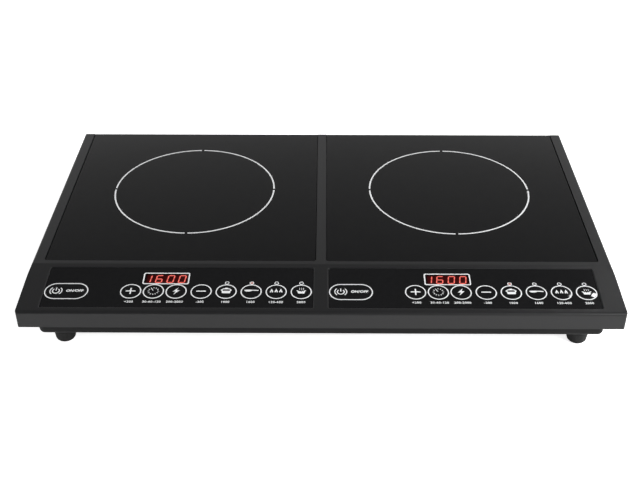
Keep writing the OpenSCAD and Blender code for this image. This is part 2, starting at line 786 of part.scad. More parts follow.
// Turns of stranded wire side by side, with the two ends led down to the power board
module coil_winding(s) {
    pitch = wire_d * 0.97;
    turns = floor((coil_d - coil_inner_d) / 2 / pitch);
    lead_y = coil_d / 2 - wire_d;
    color([0.72, 0.4, 0.2]) translate([s * pocket_x, zone_y, former_top_z + coil_gap]) {
        rotate_extrude() for (i = [0 : turns - 1]) translate([coil_d / 2 - wire_d / 2 - i * pitch, wire_d / 2])
            circle(wire_d / 2);
        lead_l = former_top_z + coil_gap - power_board_z - board_t - 0.3;
        for (x = [-1, 1]) translate([x * lead_x, -lead_y, -lead_l])
            cylinder(h = lead_l + wire_d / 2, d = wire_d * 0.8);
    }
}

// Moulded disc with a hub, ferrite channels, two lead holes and four screw ears
module coil_former(s) {
    color([0.85, 0.83, 0.78]) translate([s * pocket_x, zone_y, former_z]) difference() {
        union() {
            cylinder(h = former_t, d = former_d);
            for (p = ear_places) {
                translate(p) cylinder(h = former_t, r = 6);
                rotate([0, 0, atan2(p.y, p.x)]) translate([ear_radius - 18, -4.5, 0]) cube([18, 9, former_t]);
            }
            for (a = [0 : 360 / ferrite_n : 359]) rotate([0, 0, a]) for (y = [-1, 1])
                translate([coil_inner_d / 2, y * (ferrite_w / 2 + 1.2) - 0.8, -ferrite_t])
                    cube([ferrite_l, 1.6, ferrite_t + former_t / 2]);
            translate([0, 0, -ferrite_t]) cylinder(h = ferrite_t + former_t / 2, d = former_hub_d);
        }
        translate([0, 0, -ferrite_t - 1]) cylinder(h = former_t + ferrite_t + 2, d = 6.6);
        for (p = ear_places) translate([p.x, p.y, -1]) cylinder(h = former_t + 2, d = hole_d);
        for (x = [-1, 1]) translate([x * lead_x, wire_d - coil_d / 2, -1])
            cylinder(h = former_t + 2, d = wire_d + 0.4);
    }
}

module ferrite_bars(s) {
    color([0.25, 0.25, 0.27]) translate([s * pocket_x, zone_y, former_z - ferrite_t])
        for (a = [0 : 360 / ferrite_n : 359]) rotate([0, 0, a])
            translate([coil_inner_d / 2 + 1, -ferrite_w / 2, 0]) cube([ferrite_l - 2, ferrite_w, ferrite_t]);
}

// Sensor on a collar in the former's hub, its flat tip against the glass
module thermistor(s) {
    color([0.85, 0.3, 0.15]) translate([s * pocket_x, zone_y, former_top_z]) {
        translate([0, 0, -former_t - ferrite_t]) cylinder(h = former_t + ferrite_t + eps, d = 6);
        cylinder(h = 2, d = 11);
        cylinder(h = glass_z - former_top_z, d = 8);
    }
}

// ---- Power electronics ----

module power_board(s) {
    color([0.1, 0.35, 0.2]) translate([s * pocket_x, 0, power_board_z]) difference() {
        translate([0, power_board_y]) linear_extrude(board_t)
            rounded_rect(power_board_w, power_board_d, 2);
        for (p = power_board_places) translate([p.x, p.y, -1]) cylinder(h = board_t + 2, d = hole_d);
    }
}

// Extruded heat sink: a base with fins that run front to back
module heat_sink(s) {
    fins = floor((sink_w - fin_t) / fin_pitch);
    color([0.75, 0.76, 0.78]) translate([s * pocket_x, sink_y, part_z]) along_y(sink_d) {
        translate([-sink_w / 2, 0]) square([sink_w, 4]);
        for (i = [0 : fins]) translate([(i - fins / 2) * fin_pitch - fin_t / 2, 0]) square([fin_t, sink_h]);
    }
}

module filter_capacitors(s) {
    small_x = capacitor_x + (capacitor_w + small_capacitor_w) / 2 + capacitor_gap;
    small_y = (small_capacitor_d + capacitor_gap) / 2;
    color([0.8, 0.6, 0.15]) translate([s * pocket_x, power_board_y, part_z]) {
        translate([-capacitor_x, 0, 0]) soft_block(capacitor_w, capacitor_d, capacitor_h, 1, 1);
        for (y = [-1, 1]) translate([-small_x, y * small_y, 0])
            soft_block(small_capacitor_w, small_capacitor_d, capacitor_h + 1, 1, 1);
    }
}

// Ring core with turns of wire round it
module filter_choke(s) {
    core_w = choke_d * 0.22;
    color([0.3, 0.4, 0.3]) translate([s * pocket_x + choke_x, power_board_y, part_z + 1]) {
        rotate_extrude() translate([choke_d / 2 - core_w / 2 - 1, choke_h / 2])
            square([core_w, choke_h - 2], center = true);
        for (i = [0 : choke_turns - 1]) rotate([0, 0, i * 360 / choke_turns])
            translate([choke_d / 2 - core_w / 2 - 1, 0, choke_h / 2]) along_y(1.4) difference() {
                square([core_w + 2, choke_h], center = true);
                square([core_w - 0.6, choke_h - 2.6], center = true);
            }
        translate([0, 0, -1]) cylinder(h = 2 + eps, d = choke_d * 0.8);
    }
}

// ---- Cooling fan ----

// Square duct with two flanges, four arms and the motor plate with its bearing and stator
module fan_frame(s) {
    color([0.16, 0.16, 0.17]) translate([s * pocket_x, fan_y, floor_z]) {
        difference() {
            union() {
                for (z = [0, fan_h - 3]) translate([0, 0, z]) linear_extrude(3) rounded_rect(fan_w, fan_w, 4);
                cylinder(h = fan_h, r = fan_w / 2 - eps);
            }
            translate([0, 0, -1]) cylinder(h = fan_h + 2, r = duct_r);
            for (x = [-1, 1], y = [-1, 1]) translate([x * fan_hole, y * fan_hole, -1])
                cylinder(h = fan_h + 2, d = fan_hole_d);
        }
        difference() {
            union() {
                translate([0, 0, fan_h - motor_plate_t]) {
                    cylinder(h = motor_plate_t, d = hub_d);
                    for (a = [0, 90]) rotate([0, 0, a + 45]) translate([-fan_w / 2 + 1, -2, 0])
                        cube([fan_w - 2, 4, motor_plate_t]);
                }
                translate([0, 0, rotor_z + 3.4]) cylinder(h = fan_h - rotor_z - 3.4, r = bearing_r);
                translate([0, 0, fan_h - motor_plate_t - 8]) cylinder(h = 8 + eps, d = hub_d - 10);
            }
            translate([0, 0, rotor_z]) cylinder(h = fan_h - rotor_z - 1.2, r = shaft_d / 2 + bearing_gap);
        }
    }
}

// Arc-shaped strip from the axis outwards along X, pitched about its own length
module blade_strip(reach) {
    translate([0, 0, rotor_h / 2]) rotate([blade_pitch, 0, 0]) translate([reach / 2, 0, 0]) along_x(reach)
        translate([0, -camber_r]) intersection() {
            difference() {
                circle(camber_r + blade_t / 2);
                circle(camber_r - blade_t / 2);
            }
            translate([-blade_chord / 2, 0]) square([blade_chord, 2 * camber_r]);
        }
}

// One cambered blade: the strip trimmed round at its tip and inside the hub's wall
module fan_blade() {
    tip_r = duct_r - tip_gap;
    difference() {
        intersection() {
            blade_strip(tip_r + 3);
            translate([0, 0, -rotor_h]) cylinder(h = 3 * rotor_h, r = tip_r);
        }
        translate([0, 0, -2 * rotor_h]) cylinder(h = 5 * rotor_h, r = hub_d / 2 - 0.8);
    }
}

// Hub cup over the stator, nine blades and the shaft in its bearing
module fan_rotor(s) {
    color([0.2, 0.2, 0.21]) translate([s * pocket_x, fan_y, floor_z + rotor_z]) {
        difference() {
            cylinder(h = rotor_h, d = hub_d);
            translate([0, 0, 2]) cylinder(h = rotor_h, d = hub_d - 3.2);
        }
        for (i = [0 : blade_n - 1]) rotate([0, 0, i * 360 / blade_n]) fan_blade();
        translate([0, 0, 1]) cylinder(h = fan_h - rotor_z - 3.5, d = shaft_d);
    }
}

// ---- Control panel ----

module control_overlay(s) {
    w = panel_w - 2 * overlay_gap;
    d = panel_d - 2 * overlay_gap;
    color([0.05, 0.05, 0.06]) on_slope(s * panel_x, 0) difference() {
        translate([0, panel_front + panel_d / 2, -overlay_floor]) linear_extrude(overlay_t)
            rounded_rect(w, d, panel_corner_r - overlay_gap);
        translate([0, 0, -2 * overlay_floor]) {
            translate([power_key_x, key_row]) linear_extrude(2 * overlay_floor)
                stadium(power_key_w + 2 * key_gap, power_key_d + 2 * key_gap);
            for (i = [1 : 8]) translate([key_x(i), key_row])
                cylinder(h = 2 * overlay_floor, d = key_d + 2 * key_gap);
            for (i = [0 : 3]) translate([lamp_x(i), lamp_row])
                cylinder(h = 2 * overlay_floor, d = lamp_d + 2 * key_gap);
            translate([display_x, display_row]) linear_extrude(2 * overlay_floor)
                rounded_rect(window_w + 2 * window_gap, window_d + 2 * window_gap, window_r + window_gap);
        }
    }
}

module display_window(s) {
    color([0.3, 0.03, 0.03]) on_slope(s * panel_x, 0) translate([display_x, display_row, -overlay_floor])
        linear_extrude(overlay_t) rounded_rect(window_w, window_d, window_r);
}

// Display module: a block on the board with a raised face behind the window
module digit_display(s) {
    face_z = -overlay_floor - 0.3;
    block_top = -slope_skin - 0.3;
    color([0.75, 0.1, 0.08]) on_slope(s * panel_x, 0) translate([display_x, display_row]) {
        translate([0, 0, -board_drop]) linear_extrude(board_drop + block_top)
            square([digits_w + 5, digits_d + 3], center = true);
        translate([0, 0, block_top - eps]) linear_extrude(face_z - block_top + eps)
            square([digits_w, digits_d], center = true);
    }
}

module control_board(s) {
    color([0.1, 0.35, 0.2]) on_slope(s * panel_x, 0) difference() {
        translate([0, control_board_front + control_board_d / 2, -board_drop - board_t]) linear_extrude(board_t)
            rounded_rect(control_board_w, control_board_d, 1.5);
        for (p = control_screw_places) translate([p.x, p.y, -board_drop - board_t - 1])
            cylinder(h = board_t + 2, d = hole_d);
    }
}

// One push switch under each key, with the bore that guides the key's stem
module tact_switches(s) {
    color([0.2, 0.2, 0.2]) on_slope(s * panel_x, 0) for (i = [0 : 8]) translate([key_x(i), key_row, -board_drop])
        difference() {
            translate([0, 0, switch_h / 2]) cube([switch_w, switch_w, switch_h], center = true);
            translate([0, 0, switch_h - switch_bore]) cylinder(h = switch_bore + 1, d = stem_d + 2 * key_gap);
        }
}

// Four lamps with a base rim and a round tip just below the overlay's face
module indicator_lamps(s) {
    tip = panel_recess + 0.3;
    color([0.9, 0.85, 0.8]) on_slope(s * panel_x, 0) for (i = [0 : 3]) translate([lamp_x(i), lamp_row, -board_drop]) {
        cylinder(h = 1, d = lamp_d + 0.8);
        cylinder(h = board_drop - tip - lamp_d / 2, d = lamp_d);
        translate([0, 0, board_drop - tip - lamp_d / 2]) sphere(d = lamp_d);
    }
}

// Half of a key's cross-section: lip, wall and low dome, out to a reach from its middle
module key_profile(reach) {
    crown_z = key_crown - panel_recess;
    dome_r = (reach * reach + key_dome * key_dome) / (2 * key_dome);
    intersection() {
        translate([0, -lip_bottom + eps]) square([reach, crown_z + lip_bottom]);
        translate([0, crown_z - dome_r]) circle(dome_r, $fn = 720);
    }
    translate([0, -lip_bottom]) square([reach + key_lip, key_lip_t]);
}

// Key whose oval shape is w long and d high, with its stem down into the switch
module key_body(w, d) {
    flat = w - d;
    for (x = flat > 0 ? [-1, 1] : [0]) translate([x * flat / 2, 0, 0]) rotate_extrude() key_profile(d / 2);
    if (flat > 0) along_x(flat) for (m = [0, 1]) mirror([m, 0]) key_profile(d / 2);
    translate([0, 0, -switch_top - stem_reach]) cylinder(h = switch_top + stem_reach - lip_bottom + 0.2, d = stem_d);
}

module key(s, i) {
    color([0.06, 0.06, 0.07]) on_slope(s * panel_x, 0) translate([key_x(i), key_row])
        if (i == 0) key_body(power_key_w, power_key_d);
        else key_body(key_d, key_d);
}

// ---- The pieces ----

top_frame();
base_tray();
rubber_feet();
housing_screws();
inner_screws();
cord_bushing();
for (k = [0, 1]) {
    s = 2 * k - 1;
    side = side_names[k];
    glass_plate(s);
    mica_sheet(s);
    coil_winding(s);
    coil_former(s);
    ferrite_bars(s);
    thermistor(s);
    power_board(s);
    heat_sink(s);
    filter_capacitors(s);
    filter_choke(s);
    fan_frame(s);
    fan_rotor(s);
    control_overlay(s);
    display_window(s);
    digit_display(s);
    control_board(s);
    tact_switches(s);
    indicator_lamps(s);
    for (i = [0 : 8]) key(s, i);
}
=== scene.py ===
# %% [markdown]
# # A double induction hob
# The hob is a flat box that is nearly black all over, so its looks come from three things: how
# each dark surface shines, the crisp white print on glass and control strip, and the red glow of
# the two displays. The solid pieces come ready from the CAD frame, in metres. This lesson lights
# them, gives each one its finish, and adds what is printed, lit or too fine for CAD. Places and
# sizes are taken from the frame, so that every added piece sits where the solid one is.

# %% The frame
import json
import math

import bmesh
import bpy
from mathutils import Matrix, Vector


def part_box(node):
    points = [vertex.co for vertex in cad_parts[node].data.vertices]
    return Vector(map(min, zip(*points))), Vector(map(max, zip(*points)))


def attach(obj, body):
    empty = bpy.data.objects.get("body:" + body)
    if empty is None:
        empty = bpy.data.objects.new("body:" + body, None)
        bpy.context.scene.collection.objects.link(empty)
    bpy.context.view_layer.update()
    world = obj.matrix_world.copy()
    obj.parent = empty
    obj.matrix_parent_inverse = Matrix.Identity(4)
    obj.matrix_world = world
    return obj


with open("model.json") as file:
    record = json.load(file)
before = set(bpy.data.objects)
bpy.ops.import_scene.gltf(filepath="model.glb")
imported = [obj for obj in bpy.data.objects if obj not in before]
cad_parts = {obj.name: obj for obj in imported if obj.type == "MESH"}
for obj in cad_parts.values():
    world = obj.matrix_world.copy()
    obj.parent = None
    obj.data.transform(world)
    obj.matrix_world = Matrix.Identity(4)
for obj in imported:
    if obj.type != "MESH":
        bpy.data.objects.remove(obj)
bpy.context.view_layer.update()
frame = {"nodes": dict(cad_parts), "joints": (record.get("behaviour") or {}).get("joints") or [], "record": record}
SIDES = ("left", "right")
MM = 0.001

# %% [markdown]
# ## The camera
# A product picture like this is taken from the front, a little over a metre away and about 34
# degrees above the worktop. The lens is a short telephoto, so the sides converge gently. The
# camera could be aimed with a constraint that tracks an empty, but two fixed facts are plainer
# and can't drift: where it stands, and the direction in which it looks.

# %% Camera
CAMERA_PLACE = Vector((0.0037, -0.9466, 0.6677))
CAMERA_LOOK = Vector((-0.004775, 0.826253, -0.563278))
CAMERA_LENS = 56.35
lens = bpy.data.cameras.new("camera")
lens.lens = CAMERA_LENS
lens.sensor_width = 36
camera = bpy.data.objects.new("camera", lens)
camera.location = CAMERA_PLACE
camera.rotation_euler = CAMERA_LOOK.to_track_quat("-Z", "Y").to_euler()
bpy.context.scene.collection.objects.link(camera)
bpy.context.scene.camera = camera
bpy.context.scene.view_settings.view_transform = "Standard"
print("camera stands", round(CAMERA_PLACE.length, 3), "m from the middle of the base")

# %% [markdown]
# ## Nodes
# Light, floor and finishes are all built of shader nodes. They could be set up by hand in the
# editor, but a script can be run again. One function adds a node, sets it and links it, which
# keeps each finish below to a few readable lines.


# %% A node with its settings and links
def add_node(tree, kind, inputs=(), **settings):
    """Adds a node. inputs maps a socket to a constant or to another node's output."""
    made = tree.nodes.new(kind)
    for name, value in settings.items():
        setattr(made, name, value)
    for name, value in dict(inputs).items():
        if isinstance(value, bpy.types.NodeSocket):
            tree.links.new(value, made.inputs[name])
        else:
            made.inputs[name].default_value = value
    return made


print("one helper for every kind of node:", add_node.__name__)

# %% [markdown]
# ## Light
# The dark surfaces are nearly mirrors at a low angle, so the studio around the hob matters more
# than any lamp. Behind it stands a pale wall that ends low: it shows in the glass and the flat
# rails, while the sloping strip, tipped five degrees to the front, already mirrors the dark
# ceiling above the wall. That is why the strip looks so much darker than the rails. The side
# behind the camera is dark, so the round front edge turns dark between strip and front face.
# The wall could be a real lit surface, but a world that changes with direction does the same,
# takes no room behind the hob and renders clean. Each stop below is a height, from -1 straight
# down to 1 straight up, and how bright the studio is there.

# %% Studio walls
WALL_TOP = 0.48
WALL = (
    (-1.0, 0.50),
    (0.0, 0.90),
    (0.25, 0.92),
    (0.38, 0.90),
    (WALL_TOP, 0.25),
    (0.56, 0.16),
    (0.66, 0.06),
    (1.0, 0.07),
)
DARK_SIDE = 0.05
SIDE_BLEND = 0.15
world = bpy.data.worlds.new("studio")
bpy.context.scene.world = world
world.use_nodes = True
sky = world.node_tree
sky.nodes.clear()
direction = add_node(sky, "ShaderNodeTexCoord")
way = add_node(sky, "ShaderNodeSeparateXYZ", {"Vector": direction.outputs["Generated"]})
height = add_node(
    sky, "ShaderNodeMapRange", {"Value": way.outputs["Z"], "From Min": -1.0, "From Max": 1.0}
)
fall = add_node(sky, "ShaderNodeValToRGB", {"Fac": height.outputs["Result"]})
stops = fall.color_ramp.elements
stops[0].position, stops[1].position = 0.0, 1.0
for level, _ in WALL[1:-1]:
    stops.new((level + 1) / 2)
for stop, (_, tone) in zip(stops, WALL):
    stop.color = (tone, tone, tone, 1)
behind = add_node(
    sky,
    "ShaderNodeMapRange",
    {"Value": way.outputs["Y"], "From Min": -SIDE_BLEND, "From Max": SIDE_BLEND},
)
around = add_node(
    sky,
    "ShaderNodeMix",
    {0: behind.outputs["Result"], 6: (DARK_SIDE,) * 3 + (1,), 7: fall.outputs["Color"]},
    data_type="RGBA",
)
print("wall ends at", round(math.degrees(math.asin(WALL_TOP))), "degrees above the horizon")

# %% [markdown]
# The camera itself never sees these walls. It sees plain white, which a Light Path node tells
# apart by the kind of ray, so the picture keeps its white ground from every side.

# %% White ground for the camera
rays = add_node(sky, "ShaderNodeLightPath")
white_for = add_node(
    sky,
    "ShaderNodeMath",
    {0: rays.outputs["Is Camera Ray"], 1: rays.outputs["Is Transmission Ray"]},
    operation="MAXIMUM",
)
seen = add_node(sky, "ShaderNodeBackground", {"Color": (1, 1, 1, 1), "Strength": 1.0})
lit = add_node(sky, "ShaderNodeBackground", {"Color": around.outputs[2], "Strength": 1.0})
mixed = add_node(sky, "ShaderNodeMixShader", {"Fac": white_for.outputs[0]})
sky.links.new(lit.outputs[0], mixed.inputs[1])
sky.links.new(seen.outputs[0], mixed.inputs[2])
add_node(sky, "ShaderNodeOutputWorld", {"Surface": mixed.outputs[0]})
print("world has", len(sky.nodes), "nodes")

# %% [markdown]
# ## Lamps
# The hob is lit from the side. Two large soft boxes stand at the right and a weak one at the
# left. A lamp above the camera would be simpler, but the rolled front edge would throw it back as
# a bright line. No flat top throws side lamps back into the lens, so white ink shines and black
# stays black. A small hard lamp far back at the right shows as a crescent in each domed key near
# that end. Width, length and distance are in metres and power is in watts.


# %% Lamps
def soft_box(name, place, target, width, length, power):
    """A rectangular studio lamp that faces a point."""
    data = bpy.data.lights.new(name, "AREA")
    data.shape = "RECTANGLE"
    data.size = width
    data.size_y = length
    data.energy = power
    lamp = bpy.data.objects.new(name, data)
    lamp.location = place
    lamp.rotation_euler = (Vector(target) - Vector(place)).to_track_quat("-Z", "Y").to_euler()
    bpy.context.scene.collection.objects.link(lamp)


HOB_MIDDLE = (0, 0, 0)
RIGHT_KEYS = (0.2, -0.15, 0.06)
soft_box("right_front_box", (1.6, -1.3, 1.3), HOB_MIDDLE, 1.0, 1.0, 46)
soft_box("right_box", (2.0, -0.2, 1.2), HOB_MIDDLE, 1.2, 1.2, 28)
soft_box("left_box", (-2.0, -0.2, 1.2), HOB_MIDDLE, 1.2, 1.2, 14)
soft_box("rear_right_spot", (1.0, 1.21, 1.64), RIGHT_KEYS, 0.1, 0.2, 1.3)

# %% [markdown]
# ## The floor
# The hob stands on a white sheet that runs on without an edge. It is a plain matt white, with a
# little light of its own, so that it reads as white paper and still takes the soft shadow under
# the tray. More lamps would whiten it too, but they would also grey the black hob. Mirrored in
# the plastic it glows less, and least close to the hob, where the real sheet lies in shade: an
# ambient occlusion node measures how closed in each place is.

# %% Floor
FLOOR_SIZE = 12.0
FLOOR_DROP = 0.2 * MM
PAPER_WHITE = 0.86
GLOW_SEEN = 0.85
GLOW_MIRRORED = 0.2
SHADE_REACH = 50 * MM
bpy.ops.mesh.primitive_plane_add(size=FLOOR_SIZE, location=(0, 0, -FLOOR_DROP))
floor = bpy.context.object
floor.name = "floor"
paper = bpy.data.materials.new("white_paper_sheet")
paper.use_nodes = True
sheet = paper.node_tree
sheet.nodes.clear()
matt = add_node(sheet, "ShaderNodeBsdfDiffuse", {"Color": (PAPER_WHITE,) * 3 + (1,)})
kinds = add_node(sheet, "ShaderNodeLightPath")
shade = add_node(sheet, "ShaderNodeAmbientOcclusion", {"Distance": SHADE_REACH})
mirrored_light = add_node(
    sheet,
    "ShaderNodeMath",
    {0: kinds.outputs["Is Glossy Ray"], 1: shade.outputs["AO"]},
    operation="MULTIPLY",
)
mirrored_glow = add_node(
    sheet,
    "ShaderNodeMath",
    {0: mirrored_light.outputs[0], 1: GLOW_MIRRORED},
    operation="MULTIPLY",
)
straight = add_node(
    sheet,
    "ShaderNodeMath",
    {0: kinds.outputs["Is Camera Ray"], 1: kinds.outputs["Is Transmission Ray"]},
    operation="MAXIMUM",
)
strength = add_node(
    sheet,
    "ShaderNodeMath",
    {0: straight.outputs[0], 1: GLOW_SEEN, 2: mirrored_glow.outputs[0]},
    operation="MULTIPLY_ADD",
)
glow = add_node(sheet, "ShaderNodeEmission", {"Strength": strength.outputs[0]})
both = add_node(sheet, "ShaderNodeAddShader")
sheet.links.new(matt.outputs[0], both.inputs[0])
sheet.links.new(glow.outputs[0], both.inputs[1])
add_node(sheet, "ShaderNodeOutputMaterial", {"Surface": both.outputs[0]})
floor.data.materials.append(paper)
print("floor is", FLOOR_SIZE, "m across")

# %% [markdown]
# ## Finishes
# Colours are easiest to choose as sRGB hex values, as on a colour card, but a shader adds up
# light, so one function turns them to linear values. No moulded or rolled surface is even, so
# another one lays a fine noise over each finish. Separate noises for colour, gloss and height
# would look busy. On a real surface the three change together, so one noise drives them all.


# %% Colour, finish and grain
def hex_colour(code):
    """Linear RGBA from an sRGB hex value such as "#1d1d1f"."""
    channels = [int(code[i : i + 2], 16) / 255 for i in (1, 3, 5)]
    linear = [c / 12.92 if c <= 0.04045 else ((c + 0.055) / 1.055) ** 2.4 for c in channels]
    return (*linear, 1.0)


def new_finish(name, base, roughness, **constants):
    """A material with one Principled shader, whose constants sit on its own sockets."""
    made = bpy.data.materials.new(name)
    made.use_nodes = True
    tree = made.node_tree
    tree.nodes.clear()
    shader = add_node(
        tree, "ShaderNodeBsdfPrincipled", {"Base Color": hex_colour(base), "Roughness": roughness}
    )
    for socket, value in constants.items():
        shader.inputs[socket.replace("_", " ")].default_value = value
    add_node(tree, "ShaderNodeOutputMaterial", {"Surface": shader.outputs[0]})
    return made, tree, shader


GRAIN_STOPS = (0.35, 0.65)


def grain(tree, shader, size_mm, depth_mm, base, other, rough, stretch=(1, 1, 1)):
    """Gives a surface its grain: noise of that size that shifts its colour, gloss and height."""
    place = add_node(tree, "ShaderNodeTexCoord")
    laid = add_node(
        tree, "ShaderNodeMapping", {"Vector": place.outputs["Object"], "Scale": stretch}
    )
    noise = add_node(
        tree,
        "ShaderNodeTexNoise",
        {"Vector": laid.outputs[0], "Scale": 1 / (size_mm * MM), "Detail": 3.0, "Roughness": 0.6},
    )
    tint = add_node(tree, "ShaderNodeValToRGB", {"Fac": noise.outputs["Fac"]})
    for stop, position, colour in zip(tint.color_ramp.elements, GRAIN_STOPS, (base, other)):
        stop.position = position
        stop.color = hex_colour(colour)
    tree.links.new(tint.outputs["Color"], shader.inputs["Base Color"])
    gloss = add_node(
        tree,
        "ShaderNodeMapRange",
        {"Value": noise.outputs["Fac"], "To Min": rough[0], "To Max": rough[1]},
    )
    tree.links.new(gloss.outputs["Result"], shader.inputs["Roughness"])
    bump = add_node(
        tree,
        "ShaderNodeBump",
        {"Height": noise.outputs["Fac"], "Distance": depth_mm * MM, "Strength": 1.0},
    )
    tree.links.new(bump.outputs["Normal"], shader.inputs["Normal"])


print("frame black #1c1c1d is linear", [round(c, 4) for c in hex_colour("#1c1c1d")[:3]])

# %% [markdown]
# ## Moulded plastics and rubber
# The top frame is injection-moulded ABS with a fine spark-eroded texture, which scatters light a
# little but keeps a soft sheen at a low angle. The tray is the same plastic from a plainer mould,
# rougher than the frame, and its darker colour and weaker sheen are painted shade for the shadow
# it lies in under the frame. The feet are moulded rubber, the fan is PBT, and the carrier of the
# coil is phenolic resin, which stands its heat. The real texture has grains of about 0.1 mm, too
# fine for a picture of the whole hob, so it is drawn at 0.5 mm and kept shallow. In each grain
# line stand its size and depth in millimetres, its two colours and its span of roughness.

# %% Moulded plastics and rubber
frame_abs, tree, shader = new_finish("moulded_abs_textured", "#1c1c1d", 0.36, IOR=1.52)
grain(tree, shader, 0.5, 0.02, "#1a1a1b", "#1f1f20", (0.32, 0.42))
# The tray's darker colour and lower specular level are painted shade for the shadow under the frame
tray_abs_painted_shade, tree, shader = new_finish("moulded_abs_painted_shade", "#101011", 0.45, IOR=1.52)
shader.inputs["Specular IOR Level"].default_value = 0.28
grain(tree, shader, 0.6, 0.02, "#0e0e0f", "#131314", (0.42, 0.52))
foot_rubber, tree, shader = new_finish("moulded_rubber", "#161616", 0.7, IOR=1.5)
grain(tree, shader, 0.8, 0.03, "#131313", "#1a1a1a", (0.62, 0.78))
fan_pbt, tree, shader = new_finish("moulded_pbt", "#17181a", 0.4, IOR=1.55)
grain(tree, shader, 0.6, 0.01, "#141517", "#1b1c1e", (0.35, 0.45))
former_resin, tree, shader = new_finish("moulded_phenolic_resin", "#d8cfb8", 0.55, IOR=1.6)
grain(tree, shader, 1.2, 0.02, "#d2c8af", "#ded6c2", (0.5, 0.62))
plastics = (frame_abs, tray_abs_painted_shade, foot_rubber, fan_pbt, former_resin)
print("plastics:", [finish.name for finish in plastics])

# %% [markdown]
# ## Black glass and the glossy control sheet
# The plates are black glass ceramic, rolled and then polished, so the face is smooth but not
# quite a mirror: its faint unevenness spreads a reflection by a few degrees. The control sheet
# is polycarbonate printed black from behind, glossier and deeper black than the frame. The keys
# are the same sheet, raised in low domes. The display window is smoked red acrylic, which lets
# two thirds of the light behind it through. That could be true glass with a red volume, but a
# plain see-through share looks the same at this thickness, also in an exported model.

# %% Glass and gloss
black_glass, tree, shader = new_finish("polished_glass_ceramic", "#0b0b0c", 0.12, IOR=1.54)
grain(tree, shader, 6.0, 0.004, "#0a0a0b", "#0d0d0e", (0.10, 0.15))
overlay_gloss, tree, shader = new_finish("printed_polycarbonate", "#161617", 0.08, IOR=1.58)
grain(tree, shader, 3.0, 0.002, "#141415", "#181819", (0.06, 0.10))
key_gloss, tree, shader = new_finish("domed_polycarbonate", "#141415", 0.06, IOR=1.58)
grain(tree, shader, 3.0, 0.001, "#121213", "#161617", (0.04, 0.08))
window_filter, tree, shader = new_finish("smoked_red_acrylic", "#120304", 0.1, IOR=1.49, Alpha=0.35)
grain(tree, shader, 2.0, 0.002, "#110304", "#150405", (0.08, 0.13))
print("glossy finishes:", black_glass.name, overlay_gloss.name, window_filter.name)

# %% [markdown]
# ## What is inside
# Nothing here shows in a picture of the closed hob, but the pieces are there, so each gets what
# it is made of: copper strands with enamel, mica, sintered ferrite, extruded aluminium, green
# solder mask over glass epoxy, and zinc-plated screws. One grey for all would do for a closed
# box, but someone may open it. Metals keep the default IOR, and the aluminium's grain is drawn
# out along the direction of its extrusion.

# %% Inner finishes
litz_copper, tree, shader = new_finish("enamelled_copper_strands", "#a5622e", 0.35, Metallic=1.0)
grain(tree, shader, 0.9, 0.08, "#96562a", "#b56d36", (0.3, 0.42))
mica, tree, shader = new_finish("pressed_mica", "#b8a884", 0.4, IOR=1.6)
grain(tree, shader, 5.0, 0.02, "#a99a76", "#c8ba98", (0.3, 0.5))
ferrite, tree, shader = new_finish("sintered_ferrite", "#343436", 0.6, IOR=1.7)
grain(tree, shader, 0.7, 0.03, "#2e2e30", "#3b3b3d", (0.55, 0.7))
silicone, tree, shader = new_finish("cast_silicone", "#b9492b", 0.5, IOR=1.42)
grain(tree, shader, 0.9, 0.01, "#b04426", "#c25233", (0.45, 0.58))
solder_mask, tree, shader = new_finish("solder_masked_epoxy", "#1d5a34", 0.3, IOR=1.55)
grain(tree, shader, 2.5, 0.01, "#1a5230", "#216339", (0.25, 0.36))
sink_aluminium, tree, shader = new_finish("extruded_aluminium", "#c4c6c9", 0.4, Metallic=1.0)
grain(tree, shader, 0.5, 0.02, "#bcbec1", "#cdcfd2", (0.34, 0.46), stretch=(1, 0.05, 1))
capacitor_box, tree, shader = new_finish("moulded_epoxy_box", "#c89b2e", 0.35, IOR=1.55)
grain(tree, shader, 1.0, 0.01, "#c09327", "#d1a537", (0.3, 0.42))
choke_wire, tree, shader = new_finish("enamelled_wire_on_core", "#3b5a35", 0.35, IOR=1.5)
grain(tree, shader, 1.0, 0.03, "#35522f", "#43643c", (0.3, 0.42))
switch_body, tree, shader = new_finish("moulded_switch_nylon", "#26262a", 0.5, IOR=1.53)
grain(tree, shader, 0.5, 0.01, "#222226", "#2b2b2f", (0.45, 0.56))
digit_block, tree, shader = new_finish("moulded_digit_block", "#1b0506", 0.35, IOR=1.5)
grain(tree, shader, 1.0, 0.005, "#180405", "#1f0607", (0.3, 0.4))
lamp_epoxy, tree, shader = new_finish("clear_lamp_epoxy", "#2a2a2c", 0.12, IOR=1.54)
grain(tree, shader, 1.0, 0.002, "#262628", "#303033", (0.1, 0.15))
screw_zinc, tree, shader = new_finish("zinc_plated_steel", "#b9bbbd", 0.3, Metallic=1.0)
grain(tree, shader, 0.4, 0.01, "#aeb0b2", "#c6c8ca", (0.25, 0.38))
metals = (litz_copper, sink_aluminium, screw_zinc)
print("metals:", [finish.name for finish in metals])

# %% [markdown]
# ## Finishes onto the CAD pieces
# Each CAD node keeps its shape and gets the finish of its real material. The table says which
# record slot takes which finish, so a new node in a known slot needs no new line here.

